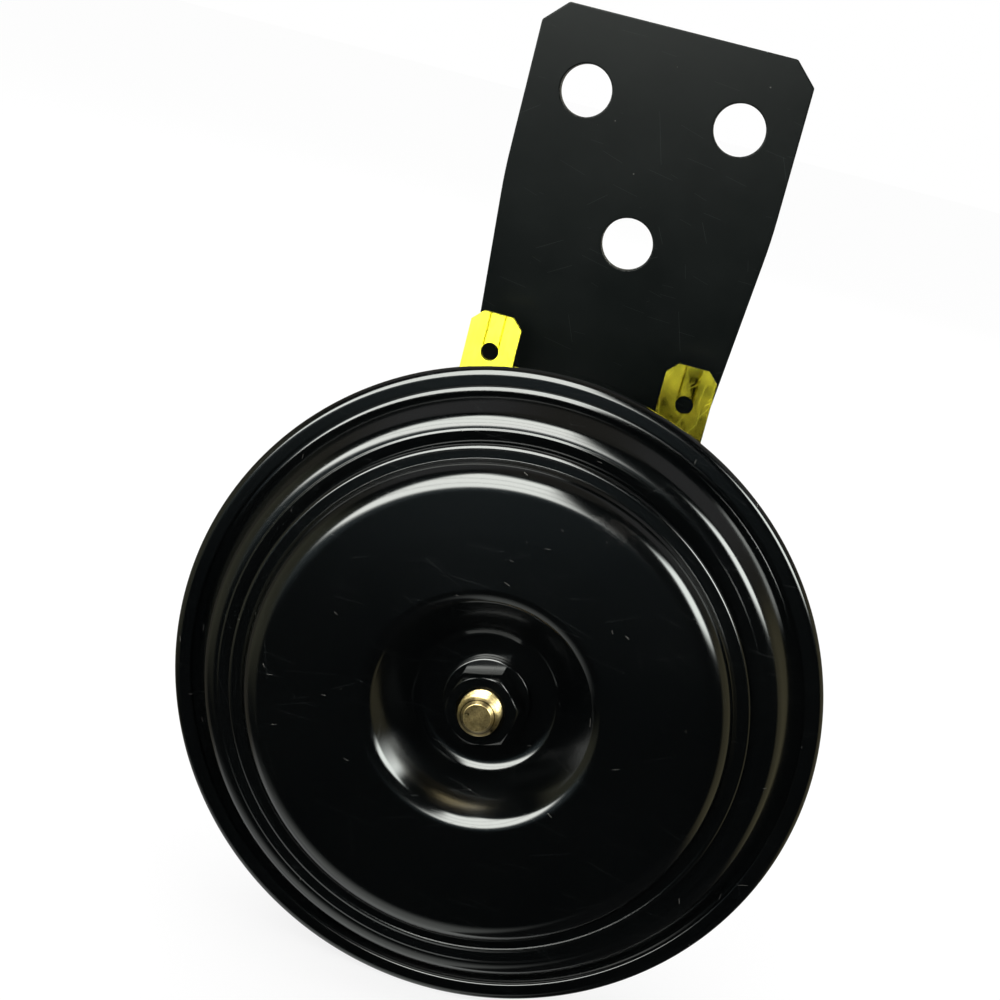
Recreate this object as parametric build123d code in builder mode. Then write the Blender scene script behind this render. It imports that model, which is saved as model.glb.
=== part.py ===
"""Electric disc horn on a flat steel bracket.

Millimetres. +X is to the right and +Z up the bracket, and the sound leaves towards -Y.
The origin is the centre of the bracket's three bolt holes, on the face that is bolted to
the vehicle. Inside the horn, places are given as depths behind the rim's widest circle
(negative in front of it) and as radii, or as across and up, from the horn's own axis.
"""
from build123d import *
from math import cos, radians, sin, sqrt
import os

os.makedirs("parts", exist_ok=True)

# bracket
bracket_width = 34.0
bracket_thickness = 2.0
bracket_top = 15.3            # above the centre of the holes
bracket_corner = 2.8
bracket_taper_start = 6.3     # below the centre of the holes
bracket_taper_blend = 70.0
bracket_eye_radius = 12.7
bolt_circle = 22.3
bolt_count = 3
bolt_hole_radius = 3.2
axis_drop = 62.8              # from the centre of the holes to the horn's axis

# pressed case, its rim folded over the diaphragm
rim_radius = 38.0
hem_lip_width = 2.4
hem_bend = 0.8
case_sheet = 0.6
drum_mouth_inset = 4.0        # from the rim's edge to the drum's outer wall
drum_taper = 1.8
drum_depth = 17.2
drum_mouth_fillet = 1.2
drum_corner_fillet = 2.6
boss_inset = 13.2             # from the corner of the case's back
boss_taper = 0.8
boss_root_fillet = 1.6
boss_top_fillet = 2.2
boss_depth = 25.7

# diaphragm and gasket
diaphragm_sheet = 0.3
gasket_thickness = 0.3
clamp_slack = 0.2
clamp_width = 2.55            # from the rim's edge to the foot of the diaphragm's cone
diaphragm_foot_bend = 0.3
crest_inset = 5.7             # from the rim's edge to the top of the cone
crest_height = 4.2
crest_width = 3.9
hub_radius = 12.5
hub_height = 0.8

# tone disc
tone_sheet = 0.7
tone_inset = 8.2              # from the rim's edge to the tone disc's edge
lip_width = 0.8
lip_height = 5.4
shoulder_inset = 3.1          # from the tone disc's edge
shoulder_height = 7.4
face_inset = 9.3              # from the tone disc's edge
face_height = 7.98
recess_radius = 13.6          # where the recess's wall would meet the face if it had no bend
recess_height = 8.12
recess_bend = 2.0
seat_radius = 8.0             # where the wall would meet the seat
seat_height = 2.6
seat_bend = 2.0

# armature and its stud, which carries the tone disc
stud_radius = 2.45
stud_hole_slack = 0.15
stud_tip_height = 9.9
stud_chamfer = 0.9
armature_collar_radius = 7.0
armature_collar_depth = 1.5
armature_plate_radius = 14.0
armature_plate_thickness = 1.2
plunger_radius = 5.8
air_gap = 0.9
front_washer_radius = 5.1
front_washer_thickness = 1.0
front_nut_flats = 7.8
front_nut_height = 3.9
front_nut_turn = 14.5
spacer_radius = 6.5

# electromagnet
core_radius = 6.0
core_front_depth = 18.7
core_fit = 0.15
bobbin_wall = 0.8
bobbin_flange = 0.8
bobbin_inset = 1.8             # from the boss's outside
bobbin_slack = 0.1
winding_inset = 0.8            # from the bobbin's edge
yoke_corner_gap = 0.6         # from the yoke's edge to the flat of the case's back
yoke_thickness = 1.6
yoke_lead_gap = 1.15          # from the yoke's flat to the winding's leads
yoke_hole_slack = 0.7

# contact breaker, which lies across the horn below the plunger
contact_drop = 11.5
contact_strip_width = 7.0
contact_base_thickness = 1.2
contact_base_inset = 4.0       # from the yoke's edge
insulator_thickness = 1.2
leaf_thickness = 0.3
leaf_width = 5.0
leaf_past_pusher = 3.2
fixed_strip_thickness = 1.0
stack_length = 10.0
stack_tail = 2.2
stack_rivet_inset = 2.2
stack_rivet_spacing = 4.6
base_rivet_inset = 3.0
base_rivet_spacing = 6.0
rivet_radius = 1.2
rivet_sleeve = 0.5
rivet_head_radius = 2.1
rivet_head_height = 0.9
rivet_head_gap = 0.2
contact_before_stack = 3.8
contact_radius = 2.0
contact_landing = 1.2         # strip past the edge of its button
contact_height = 0.6
pusher_radius = 1.8
pusher_pin_radius = 1.0
pusher_slack = 0.05
pusher_strip_gap = 2.25       # from the pusher to the fixed strip's tip

# adjusting screw
adjuster_wall = 0.65          # metal between the screw and the rivets' clearance
adjuster_inset = 6.2          # from the yoke's edge
adjuster_radius = 2.0
adjuster_length = 7.6
adjuster_slot_width = 0.8
adjuster_slot_depth = 1.0
adjuster_fit = 0.05
locknut_flats = 7.0
locknut_height = 2.2

# terminals
blade_width = 6.3
blade_thickness = 0.8
blade_across = 12.25
blade_tip = 40.2
blade_tip_corner = 1.3
blade_edge_bevel = 0.2
blade_hole_radius = 1.1
blade_hole_below_tip = 4.7
terminal_rivet_radius = 1.5
terminal_head_radius = 2.6
terminal_head_height = 0.9
sleeve_radius = 2.4
sleeve_slack = 0.1
insulator_edge_gap = 0.3      # from the bend at the boss's root
insulator_half_width = 16.6
insulator_foot = 13.6
outer_insulator_thickness = 1.3
inner_insulator_thickness = 1.2

# leads
lead_radius = 0.45
lead_bend = 1.6
lead_notch_across = 4.0       # notches in the bobbin's front flange
lead_notch_width = 2.4
lead_notch_depth = 3.0
lead_inset = 1.0              # from the winding's outside
lead_touch = 0.05
lead_end_run = 4.0
coil_lead_turn_up = 10.0
contact_lead_step = 5.0
contact_lead_swing = 3.0
contact_lead_turn_up = 6.0

# rear fastening
tail_radius = 2.95
tail_hole_slack = 0.2
tooth_washer_radius = 7.5
tooth_washer_thickness = 1.05
tooth_count = 12
tooth_depth = 1.3
tooth_width = 1.5
rear_washer_radius = 6.0
rear_washer_thickness = 1.0
spring_washer_radius = 5.3
spring_washer_thickness = 1.5
spring_washer_split = 1.0
rear_nut_flats = 10.0
rear_nut_height = 5.0
tail_past_nut = 1.5
tail_chamfer = 0.7
nut_chamfer_angle = 30.0

# places that follow from the sizes above
drum_mouth_radius = rim_radius - drum_mouth_inset
drum_back_radius = drum_mouth_radius - drum_taper
boss_root_radius = drum_back_radius - boss_inset
boss_top_radius = boss_root_radius - boss_taper
bobbin_radius = boss_top_radius - bobbin_inset
winding_radius = bobbin_radius - winding_inset
clamp_inner_radius = rim_radius - clamp_width
crest_radius = rim_radius - crest_inset
crest_inner_radius = crest_radius - crest_width
tone_radius = rim_radius - tone_inset
yoke_radius = drum_back_radius - drum_corner_fillet - yoke_corner_gap
lead_start_up = winding_radius - lead_inset
yoke_flat = lead_start_up - lead_radius - yoke_lead_gap
adjuster_across = yoke_radius - adjuster_inset
stack_rivet_outer = adjuster_across - adjuster_radius - adjuster_wall - rivet_head_radius - rivet_head_gap
stack_rivets = (stack_rivet_outer - stack_rivet_spacing, stack_rivet_outer)
stack_left = stack_rivets[0] - stack_rivet_inset
stack_right = stack_left + stack_length
contact_across = stack_left - contact_before_stack
fixed_strip_tip = contact_across - contact_radius - contact_landing
pusher_across = fixed_strip_tip - pusher_strip_gap - pusher_radius
contact_base_left = contact_base_inset - yoke_radius
contact_base_right = adjuster_across + 1.6 * adjuster_radius
base_rivets = (contact_base_left + base_rivet_inset,
               contact_base_left + base_rivet_inset + base_rivet_spacing)
insulator_inner_radius = boss_root_radius + boss_root_fillet + insulator_edge_gap
insulator_outer_radius = yoke_radius
terminal_ring = (insulator_inner_radius + insulator_outer_radius) / 2
terminal_rivet_up = sqrt(terminal_ring**2 - blade_across**2)
hem_half = case_sheet + (diaphragm_sheet + gasket_thickness) / 2
bracket_front_depth = boss_depth + tooth_washer_thickness
rim_depth = bracket_front_depth + bracket_thickness
stud_bore = stud_radius + stud_hole_slack
tail_bore = tail_radius + tail_hole_slack
sleeve_hole = sleeve_radius + sleeve_slack
case_back_inside = drum_depth - case_sheet
boss_back_inside = boss_depth - case_sheet
yoke_front = case_back_inside - yoke_thickness
hub_back_depth = diaphragm_sheet - hub_height

horn_axis = Axis((0, -rim_depth, -axis_drop), (0, 1, 0))
section = Plane((0, -rim_depth, -axis_drop), x_dir=(1, 0, 0), z_dir=(0, 0, 1))


def plan(depth):
    """The plane across the horn's axis at a depth, seen from the front: X across, Y up."""
    return Plane((0, depth - rim_depth, -axis_drop), x_dir=(1, 0, 0), z_dir=(0, -1, 0))


def finish(piece, name):
    """Name a finished piece and write it."""
    piece.part.label = name
    export_step(piece.part, f"parts/{name}.step")


# ------------------------------------------------------------------ case
with BuildPart() as case:
    with BuildSketch(section):
        with BuildLine():
            skin = FilletPolyline(
                (rim_radius - hem_lip_width, -hem_half),
                (rim_radius, -hem_half),
                (rim_radius, hem_half),
                (drum_mouth_radius, hem_half),
                (drum_back_radius, drum_depth),
                (boss_root_radius, drum_depth),
                (boss_top_radius, boss_depth),
                (tail_bore, boss_depth),
                radius=(hem_bend, hem_bend, drum_mouth_fillet, drum_corner_fillet,
                        boss_root_fillet, boss_top_fillet),
            )
            offset(skin, amount=case_sheet, side=Side.LEFT)
        make_face()
    revolve(axis=horn_axis)
    with BuildSketch(plan(drum_depth)):
        with Locations((-blade_across, terminal_rivet_up), (blade_across, terminal_rivet_up)):
            Circle(sleeve_hole)
        with Locations((adjuster_across, -contact_drop)):
            Circle(adjuster_radius + adjuster_fit)
    extrude(amount=case_sheet, mode=Mode.SUBTRACT)
finish(case, "case")

# ------------------------------------------------------------------ gasket and diaphragm
gasket_back = hem_half - case_sheet
clamp_radius = rim_radius - case_sheet - clamp_slack

with BuildPart() as gasket:
    with BuildSketch(plan(gasket_back)):
        Circle(clamp_radius)
        Circle(clamp_inner_radius, mode=Mode.SUBTRACT)
    extrude(amount=gasket_thickness)
finish(gasket, "diaphragm_gasket")

diaphragm_front = gasket_back - gasket_thickness - diaphragm_sheet

with BuildPart() as diaphragm:
    with BuildSketch(section):
        with BuildLine():
            skin = FilletPolyline(
                (clamp_radius, diaphragm_front),
                (clamp_inner_radius, diaphragm_front),
                (crest_radius, -crest_height),
                (crest_inner_radius, -crest_height),
                (hub_radius, -hub_height),
                (stud_bore, -hub_height),
                radius=(diaphragm_foot_bend, 1.0, 3.0, 3.0),
            )
            offset(skin, amount=diaphragm_sheet, side=Side.RIGHT)
        make_face()
    revolve(axis=horn_axis)
finish(diaphragm, "diaphragm")

# ------------------------------------------------------------------ tone disc
with BuildPart() as tone_disc:
    with BuildSketch(section):
        with BuildLine():
            skin = FilletPolyline(
                (stud_bore, -seat_height),
                (seat_radius, -seat_height),
                (recess_radius, -recess_height),
                (tone_radius - face_inset, -face_height),
                (tone_radius - shoulder_inset, -shoulder_height),
                (tone_radius - lip_width, -lip_height),
                (tone_radius, -lip_height),
                radius=(seat_bend, recess_bend, 60.0, 3.4, 0.5),
            )
            offset(skin, amount=tone_sheet, side=Side.LEFT)
        make_face()
    revolve(axis=horn_axis)
finish(tone_disc, "tone_disc")

with BuildPart() as spacer:
    with BuildSketch(plan(-hub_height)):
        Circle(spacer_radius)
        Circle(stud_bore, mode=Mode.SUBTRACT)
    extrude(amount=seat_height - tone_sheet - hub_height)
finish(spacer, "tone_disc_spacer")

# ------------------------------------------------------------------ armature with its stud
plate_back = armature_collar_depth + armature_plate_thickness
plunger_back = core_front_depth - air_gap

with BuildPart() as armature:
    with BuildSketch(section):
        with BuildLine():
            Polyline(
                (0, -stud_tip_height),
                (stud_radius - stud_chamfer, -stud_tip_height),
                (stud_radius, -stud_tip_height + stud_chamfer),
                (stud_radius, hub_back_depth),
                (armature_collar_radius, hub_back_depth),
                (armature_collar_radius, armature_collar_depth),
                (armature_plate_radius, armature_collar_depth),
                (armature_plate_radius, plate_back),
                (plunger_radius, plate_back),
                (plunger_radius, plunger_back),
                (0, plunger_back),
                close=True,
            )
        make_face()
    revolve(axis=horn_axis)
finish(armature, "armature")


def hex_nut(seat_depth, flats, height, bore, turn, towards_front):
    """A hexagon nut on the horn's axis, its outer corners turned off by the usual cone."""
    corner = flats / sqrt(3)
    drop = (corner - flats / 2) * sin(radians(nut_chamfer_angle)) / cos(radians(nut_chamfer_angle))
    step = -1 if towards_front else 1
    with BuildPart() as nut:
        with BuildSketch(plan(seat_depth)):
            RegularPolygon(corner, 6, rotation=turn)
            Circle(bore, mode=Mode.SUBTRACT)
        extrude(amount=-step * height)
        with BuildSketch(section):
            with BuildLine():
                Polyline(
                    (0, seat_depth),
                    (corner, seat_depth),
                    (corner, seat_depth + step * (height - drop)),
                    (flats / 2, seat_depth + step * height),
                    (0, seat_depth + step * height),
                    close=True,
                )
            make_face()
        revolve(axis=horn_axis, mode=Mode.INTERSECT)
    return nut


with BuildPart() as front_washer:
    with BuildSketch(plan(-seat_height)):
        Circle(front_washer_radius)
        Circle(stud_bore, mode=Mode.SUBTRACT)
    extrude(amount=front_washer_thickness)
    chamfer(front_washer.edges().filter_by(GeomType.CIRCLE).group_by(Axis.Y)[0].sort_by(
        SortBy.RADIUS)[-1], 0.2)
finish(front_washer, "front_washer")

front_nut = hex_nut(-seat_height - front_washer_thickness, front_nut_flats, front_nut_height,
                    stud_radius + 0.05, front_nut_turn, True)
finish(front_nut, "front_nut")

# ------------------------------------------------------------------ core, bobbin, winding, yoke
tail_end = (bracket_front_depth + bracket_thickness + rear_washer_thickness
            + spring_washer_thickness + rear_nut_height + tail_past_nut)

with BuildPart() as core:
    with BuildSketch(section):
        with BuildLine():
            Polyline(
                (0, core_front_depth),
                (core_radius, core_front_depth),
                (core_radius, boss_back_inside),
                (tail_radius, boss_back_inside),
                (tail_radius, tail_end - tail_chamfer),
                (tail_radius - tail_chamfer, tail_end),
                (0, tail_end),
                close=True,
            )
        make_face()
    revolve(axis=horn_axis)
finish(core, "pole_core")

bobbin_front = case_back_inside + bobbin_slack
bobbin_bore = core_radius + core_fit
hub_outside = bobbin_bore + bobbin_wall

with BuildPart() as bobbin:
    with BuildSketch(section):
        with BuildLine():
            Polyline(
                (bobbin_bore, bobbin_front),
                (bobbin_radius, bobbin_front),
                (bobbin_radius, bobbin_front + bobbin_flange),
                (hub_outside, bobbin_front + bobbin_flange),
                (hub_outside, boss_back_inside - bobbin_flange),
                (bobbin_radius - boss_top_fillet / 2, boss_back_inside - bobbin_flange),
                (bobbin_radius - boss_top_fillet / 2, boss_back_inside),
                (bobbin_bore, boss_back_inside),
                close=True,
            )
        make_face()
    revolve(axis=horn_axis)
    with BuildSketch(plan(bobbin_front + bobbin_flange)):
        with Locations((-lead_notch_across, winding_radius), (lead_notch_across, winding_radius)):
            Rectangle(lead_notch_width, lead_notch_depth)
    extrude(amount=bobbin_flange, mode=Mode.SUBTRACT)
finish(bobbin, "coil_bobbin")

with BuildPart() as winding:
    with BuildSketch(plan(boss_back_inside - bobbin_flange)):
        Circle(winding_radius)
        Circle(hub_outside, mode=Mode.SUBTRACT)
    extrude(amount=boss_back_inside - bobbin_front - 2 * bobbin_flange)
finish(winding, "coil_winding")

with BuildPart() as yoke:
    with BuildSketch(plan(case_back_inside)):
        Circle(yoke_radius)
        Circle(plunger_radius + yoke_hole_slack, mode=Mode.SUBTRACT)
        with Locations((0, yoke_flat + yoke_radius / 2)):
            Rectangle(2 * yoke_radius, yoke_radius, mode=Mode.SUBTRACT)
        with Locations(((stack_rivets[0] + stack_rivets[1]) / 2, -contact_drop)):
            SlotCenterToCenter(stack_rivets[1] - stack_rivets[0], 2 * (rivet_head_radius + rivet_head_gap),
                               mode=Mode.SUBTRACT)
    extrude(amount=yoke_thickness)
    with BuildSketch(plan(case_back_inside)):
        with Locations(*[(across, -contact_drop) for across in base_rivets]):
            Circle(rivet_radius)
        with Locations((adjuster_across, -contact_drop)):
            Circle(adjuster_radius + adjuster_fit)
    extrude(amount=yoke_thickness, mode=Mode.SUBTRACT)
finish(yoke, "yoke_plate")

# ------------------------------------------------------------------ contact breaker
base_front = yoke_front - contact_base_thickness
leaf_back = base_front - insulator_thickness
leaf_front = leaf_back - leaf_thickness
strip_back = leaf_front - insulator_thickness
strip_front = strip_back - fixed_strip_thickness
stack_front = strip_front - insulator_thickness


def bar(left, right, width, back, thickness, holes):
    """A flat bar across the horn below the plunger, with round holes at (across, radius)."""
    with BuildPart() as piece:
        with BuildSketch(plan(back)):
            with Locations(((left + right) / 2, -contact_drop)):
                Rectangle(right - left, width)
            for across, radius in holes:
                with Locations((across, -contact_drop)):
                    Circle(radius, mode=Mode.SUBTRACT)
        extrude(amount=thickness)
    return piece


sleeved = [(across, rivet_radius + rivet_sleeve) for across in stack_rivets]
bare = [(across, rivet_radius) for across in stack_rivets]

contact_base = bar(contact_base_left, contact_base_right, contact_strip_width, yoke_front,
                   contact_base_thickness, bare + [(across, rivet_radius) for across in base_rivets])
fillet(contact_base.edges().filter_by(Axis.Y), 1.5)
finish(contact_base, "contact_base")

contact_leaf = bar(pusher_across - leaf_past_pusher, stack_right + stack_tail, leaf_width,
                   leaf_back, leaf_thickness, sleeved + [(pusher_across, pusher_pin_radius)])
finish(contact_leaf, "contact_leaf")

fixed_strip = bar(fixed_strip_tip, stack_right + stack_tail, leaf_width, strip_back,
                  fixed_strip_thickness, sleeved)
finish(fixed_strip, "fixed_contact_strip")

# three insulating plates, with a sleeve round each rivet between the first and the last
with BuildPart() as insulators:
    for back in (base_front, leaf_front, strip_front):
        with BuildSketch(plan(back)):
            with Locations(((stack_left + stack_right) / 2, -contact_drop)):
                Rectangle(stack_right - stack_left, contact_strip_width)
            with Locations(*[(across, -contact_drop) for across in stack_rivets]):
                Circle(rivet_radius, mode=Mode.SUBTRACT)
        extrude(amount=insulator_thickness)
    with BuildSketch(plan(leaf_back)):
        with Locations(*[(across, -contact_drop) for across in stack_rivets]):
            Circle(rivet_radius + rivet_sleeve)
            Circle(rivet_radius, mode=Mode.SUBTRACT)
    extrude(amount=leaf_back - strip_front)
finish(insulators, "contact_insulators")


def rivets(places, radius, head_radius, head_height, back, front, rear_head):
    """Solid rivets side by side, headed in front and, where there is room, behind."""
    with BuildPart() as group:
        with BuildSketch(plan(back)):
            with Locations(*places):
                Circle(radius)
        extrude(amount=back - front)
        with BuildSketch(plan(front)):
            with Locations(*places):
                Circle(head_radius)
        extrude(amount=head_height)
        if rear_head:
            with BuildSketch(plan(back + head_height)):
                with Locations(*places):
                    Circle(head_radius)
            extrude(amount=head_height)
    return group


stack_rivet_group = rivets([(across, -contact_drop) for across in stack_rivets], rivet_radius,
                           rivet_head_radius, rivet_head_height, yoke_front, stack_front, True)
finish(stack_rivet_group, "contact_stack_rivets")

base_rivet_group = rivets([(across, -contact_drop) for across in base_rivets], rivet_radius,
                          rivet_head_radius, rivet_head_height, case_back_inside, base_front, False)
finish(base_rivet_group, "contact_base_rivets")

for name, back in (("moving_contact", leaf_front), ("fixed_contact", leaf_front - contact_height)):
    with BuildPart() as button:
        with BuildSketch(plan(back)):
            with Locations((contact_across, -contact_drop)):
                Circle(contact_radius)
        extrude(amount=contact_height)
    finish(button, name)

with BuildPart() as pusher:
    with BuildSketch(plan(leaf_front)):
        with Locations((pusher_across, -contact_drop)):
            Circle(pusher_radius)
    extrude(amount=leaf_front - plate_back - pusher_slack)
    with BuildSketch(plan(leaf_back)):
        with Locations((pusher_across, -contact_drop)):
            Circle(pusher_pin_radius)
    extrude(amount=leaf_thickness)
finish(pusher, "contact_pusher")

# ------------------------------------------------------------------ adjusting screw
with BuildPart() as adjuster:
    with BuildSketch(plan(yoke_front + adjuster_length)):
        with Locations((adjuster_across, -contact_drop)):
            Circle(adjuster_radius)
    extrude(amount=adjuster_length)
    with BuildSketch(plan(yoke_front + adjuster_length)):
        with Locations((adjuster_across, -contact_drop)):
            Rectangle(3 * adjuster_radius, adjuster_slot_width, rotation=30)
    extrude(amount=adjuster_slot_depth, mode=Mode.SUBTRACT)
finish(adjuster, "adjusting_screw")

with BuildPart() as locknut:
    with BuildSketch(plan(drum_depth + locknut_height)):
        with Locations((adjuster_across, -contact_drop)):
            RegularPolygon(locknut_flats / sqrt(3), 6, rotation=10)
            Circle(adjuster_radius + adjuster_fit, mode=Mode.SUBTRACT)
    extrude(amount=locknut_height)
finish(locknut, "adjuster_locknut")

# ------------------------------------------------------------------ terminals
terminal_places = [(-blade_across, terminal_rivet_up), (blade_across, terminal_rivet_up)]


def insulator_outline():
    """The ring-shaped pad behind the terminals, between the boss and the drum's edge."""
    Circle(insulator_outer_radius)
    Circle(insulator_inner_radius, mode=Mode.SUBTRACT)
    with Locations((0, insulator_foot + insulator_outer_radius / 2)):
        Rectangle(2 * insulator_half_width, insulator_outer_radius, mode=Mode.INTERSECT)
    with Locations(*terminal_places):
        Circle(terminal_rivet_radius, mode=Mode.SUBTRACT)


with BuildPart() as outer_insulator:
    with BuildSketch(plan(drum_depth + outer_insulator_thickness)):
        insulator_outline()
    extrude(amount=outer_insulator_thickness)
finish(outer_insulator, "outer_insulator")

with BuildPart() as inner_insulator:
    with BuildSketch(plan(case_back_inside)):
        insulator_outline()
    extrude(amount=inner_insulator_thickness)
    with BuildSketch(plan(drum_depth)):
        with Locations(*terminal_places):
            Circle(sleeve_radius)
            Circle(terminal_rivet_radius, mode=Mode.SUBTRACT)
    extrude(amount=case_sheet)
finish(inner_insulator, "inner_insulator")

blade_front = drum_depth + outer_insulator_thickness

for name, side in (("terminal_left", -1), ("terminal_right", 1)):
    with BuildPart() as terminal:
        with BuildSketch(plan(blade_front + blade_thickness)):
            with Locations((side * blade_across, (terminal_rivet_up + blade_tip) / 2)):
                strip = Rectangle(blade_width, blade_tip - terminal_rivet_up)
            chamfer(strip.vertices().group_by(Axis.Y)[-1], blade_tip_corner)
            with Locations((side * blade_across, terminal_rivet_up)):
                Circle(blade_width / 2)
                Circle(terminal_rivet_radius, mode=Mode.SUBTRACT)
            with Locations((side * blade_across, blade_tip - blade_hole_below_tip)):
                Circle(blade_hole_radius, mode=Mode.SUBTRACT)
        extrude(amount=blade_thickness)
        straight = terminal.edges().filter_by(GeomType.LINE).filter_by(Axis.Y, reverse=True)
        chamfer(straight, blade_edge_bevel)
    finish(terminal, name)

terminal_rivets = rivets(terminal_places, terminal_rivet_radius, terminal_head_radius,
                         terminal_head_height, blade_front + blade_thickness,
                         case_back_inside - inner_insulator_thickness, True)
finish(terminal_rivets, "terminal_rivets")

# ------------------------------------------------------------------ leads inside the case
inner_head = case_back_inside - inner_insulator_thickness - terminal_head_height
lead_level = inner_head - lead_radius
tail_across = stack_right + stack_tail / 2
tail_edge = -contact_drop + leaf_width / 2
tail_end_up = tail_edge + lead_touch
tail_turn_up = tail_edge + lead_radius + lead_end_run
winding_exit = bobbin_front + bobbin_flange
coil_lead_level = yoke_front - 3 * lead_radius
leaf_level = leaf_back - leaf_thickness / 2
strip_level = strip_back - fixed_strip_thickness / 2


def lead(name, points):
    """A wire through points given as across, up and depth."""
    path = [(across, depth - rim_depth, up - axis_drop) for across, up, depth in points]
    with BuildPart() as wire:
        with BuildLine():
            route = FilletPolyline(*path, radius=lead_bend)
        with BuildSketch(Plane(route @ 0, z_dir=route % 0)):
            Circle(lead_radius)
        sweep()
    finish(wire, name)


lead("coil_start_lead", [
    (-lead_notch_across, lead_start_up, winding_exit),
    (-lead_notch_across, lead_start_up, lead_level),
    (-blade_across, terminal_rivet_up, lead_level),
])
lead("coil_end_lead", [
    (lead_notch_across, lead_start_up, winding_exit),
    (lead_notch_across, lead_start_up, coil_lead_level),
    (tail_across, coil_lead_turn_up, coil_lead_level),
    (tail_across, tail_turn_up, leaf_level),
    (tail_across, tail_end_up, leaf_level),
])
lead("contact_lead", [
    (blade_across, terminal_rivet_up, lead_level),
    (blade_across + contact_lead_step, terminal_rivet_up - contact_lead_step, lead_level),
    (tail_across + contact_lead_swing, contact_lead_turn_up, strip_level),
    (tail_across, tail_turn_up, strip_level),
    (tail_across, tail_end_up, strip_level),
])

# ------------------------------------------------------------------ bracket
with BuildPart() as bracket:
    with BuildSketch(plan(bracket_front_depth + bracket_thickness)) as outline:
        upper_height = bracket_top + bracket_taper_start
        with Locations((0, axis_drop + bracket_top - upper_height / 2)):
            Rectangle(bracket_width, upper_height)
        Circle(bracket_eye_radius)
        make_hull()
        fillet(outline.vertices().group_by(Axis.Y)[-2], bracket_taper_blend)
        chamfer(outline.vertices().group_by(Axis.Y)[-1], bracket_corner)
        Circle(tail_bore, mode=Mode.SUBTRACT)
        with Locations((0, axis_drop)):
            with PolarLocations(bolt_circle / 2, bolt_count, start_angle=-90):
                Circle(bolt_hole_radius, mode=Mode.SUBTRACT)
    extrude(amount=bracket_thickness)
finish(bracket, "bracket")

# ------------------------------------------------------------------ rear fastening
with BuildPart() as tooth_washer:
    with BuildSketch(plan(bracket_front_depth)):
        Circle(tooth_washer_radius)
        Circle(tail_bore, mode=Mode.SUBTRACT)
        with PolarLocations(tooth_washer_radius, tooth_count):
            Rectangle(2 * tooth_depth, tooth_width, mode=Mode.SUBTRACT)
    extrude(amount=tooth_washer_thickness)
finish(tooth_washer, "tooth_washer")

washer_back = bracket_front_depth + bracket_thickness + rear_washer_thickness
with BuildPart() as rear_washer:
    with BuildSketch(plan(washer_back)):
        Circle(rear_washer_radius)
        Circle(tail_bore, mode=Mode.SUBTRACT)
    extrude(amount=rear_washer_thickness)
finish(rear_washer, "rear_washer")

spring_back = washer_back + spring_washer_thickness
with BuildPart() as spring_washer:
    with BuildSketch(plan(spring_back)):
        Circle(spring_washer_radius)
        Circle(tail_bore, mode=Mode.SUBTRACT)
        with Locations((spring_washer_radius, 0)):
            Rectangle(2 * spring_washer_radius - 2, spring_washer_split, mode=Mode.SUBTRACT)
    extrude(amount=spring_washer_thickness)
finish(spring_washer, "spring_washer")

rear_nut = hex_nut(spring_back, rear_nut_flats, rear_nut_height, tail_radius + 0.05, 0, False)
finish(rear_nut, "rear_nut")
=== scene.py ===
from math import atan2, ceil, cos, pi, radians, sin, tan

import bpy
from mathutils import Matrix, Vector


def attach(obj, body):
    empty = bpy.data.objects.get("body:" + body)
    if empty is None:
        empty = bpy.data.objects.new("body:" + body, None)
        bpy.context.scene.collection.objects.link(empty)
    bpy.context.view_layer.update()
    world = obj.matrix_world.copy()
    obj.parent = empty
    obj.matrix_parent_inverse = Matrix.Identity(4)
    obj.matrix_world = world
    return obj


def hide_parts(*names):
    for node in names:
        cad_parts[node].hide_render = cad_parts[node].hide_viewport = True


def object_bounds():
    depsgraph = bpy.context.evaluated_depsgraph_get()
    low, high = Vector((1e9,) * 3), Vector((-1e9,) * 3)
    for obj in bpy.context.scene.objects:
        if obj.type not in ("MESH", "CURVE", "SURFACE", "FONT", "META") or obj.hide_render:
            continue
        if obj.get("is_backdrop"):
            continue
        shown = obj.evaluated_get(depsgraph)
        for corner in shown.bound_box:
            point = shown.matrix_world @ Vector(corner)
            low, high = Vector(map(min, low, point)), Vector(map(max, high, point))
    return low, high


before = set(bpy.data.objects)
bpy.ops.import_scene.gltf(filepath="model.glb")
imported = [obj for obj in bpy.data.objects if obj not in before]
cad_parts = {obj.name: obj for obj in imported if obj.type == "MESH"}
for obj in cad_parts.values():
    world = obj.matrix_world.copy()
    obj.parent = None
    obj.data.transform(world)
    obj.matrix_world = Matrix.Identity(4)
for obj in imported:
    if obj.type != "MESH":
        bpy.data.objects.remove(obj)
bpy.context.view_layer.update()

MM = 0.001
RIM_Y = -28.75  # the rim's widest circle, from which depths are counted to the rear
AXIS_Z = -62.8
RIM_RADIUS = 38.0
HEM_INNER_RADIUS = 35.85
HEM = 0.9  # half the thickness of the folded rim
CASE_SHEET = 0.6
DRUM_RADIUS = 34.0
DRUM_DEPTH = 17.2
DRUM_DRAFT = 1.8
BOSS_RADIUS = 19.0
BOSS_DEPTH = 25.7
BOSS_DRAFT = 0.8
TAIL_HOLE = 3.15


def alone():
    """Leave edit mode with nothing selected."""
    if bpy.context.object and bpy.context.object.mode == "EDIT":
        bpy.ops.object.mode_set(mode="OBJECT")
    bpy.ops.object.select_all(action="DESELECT")


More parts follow.
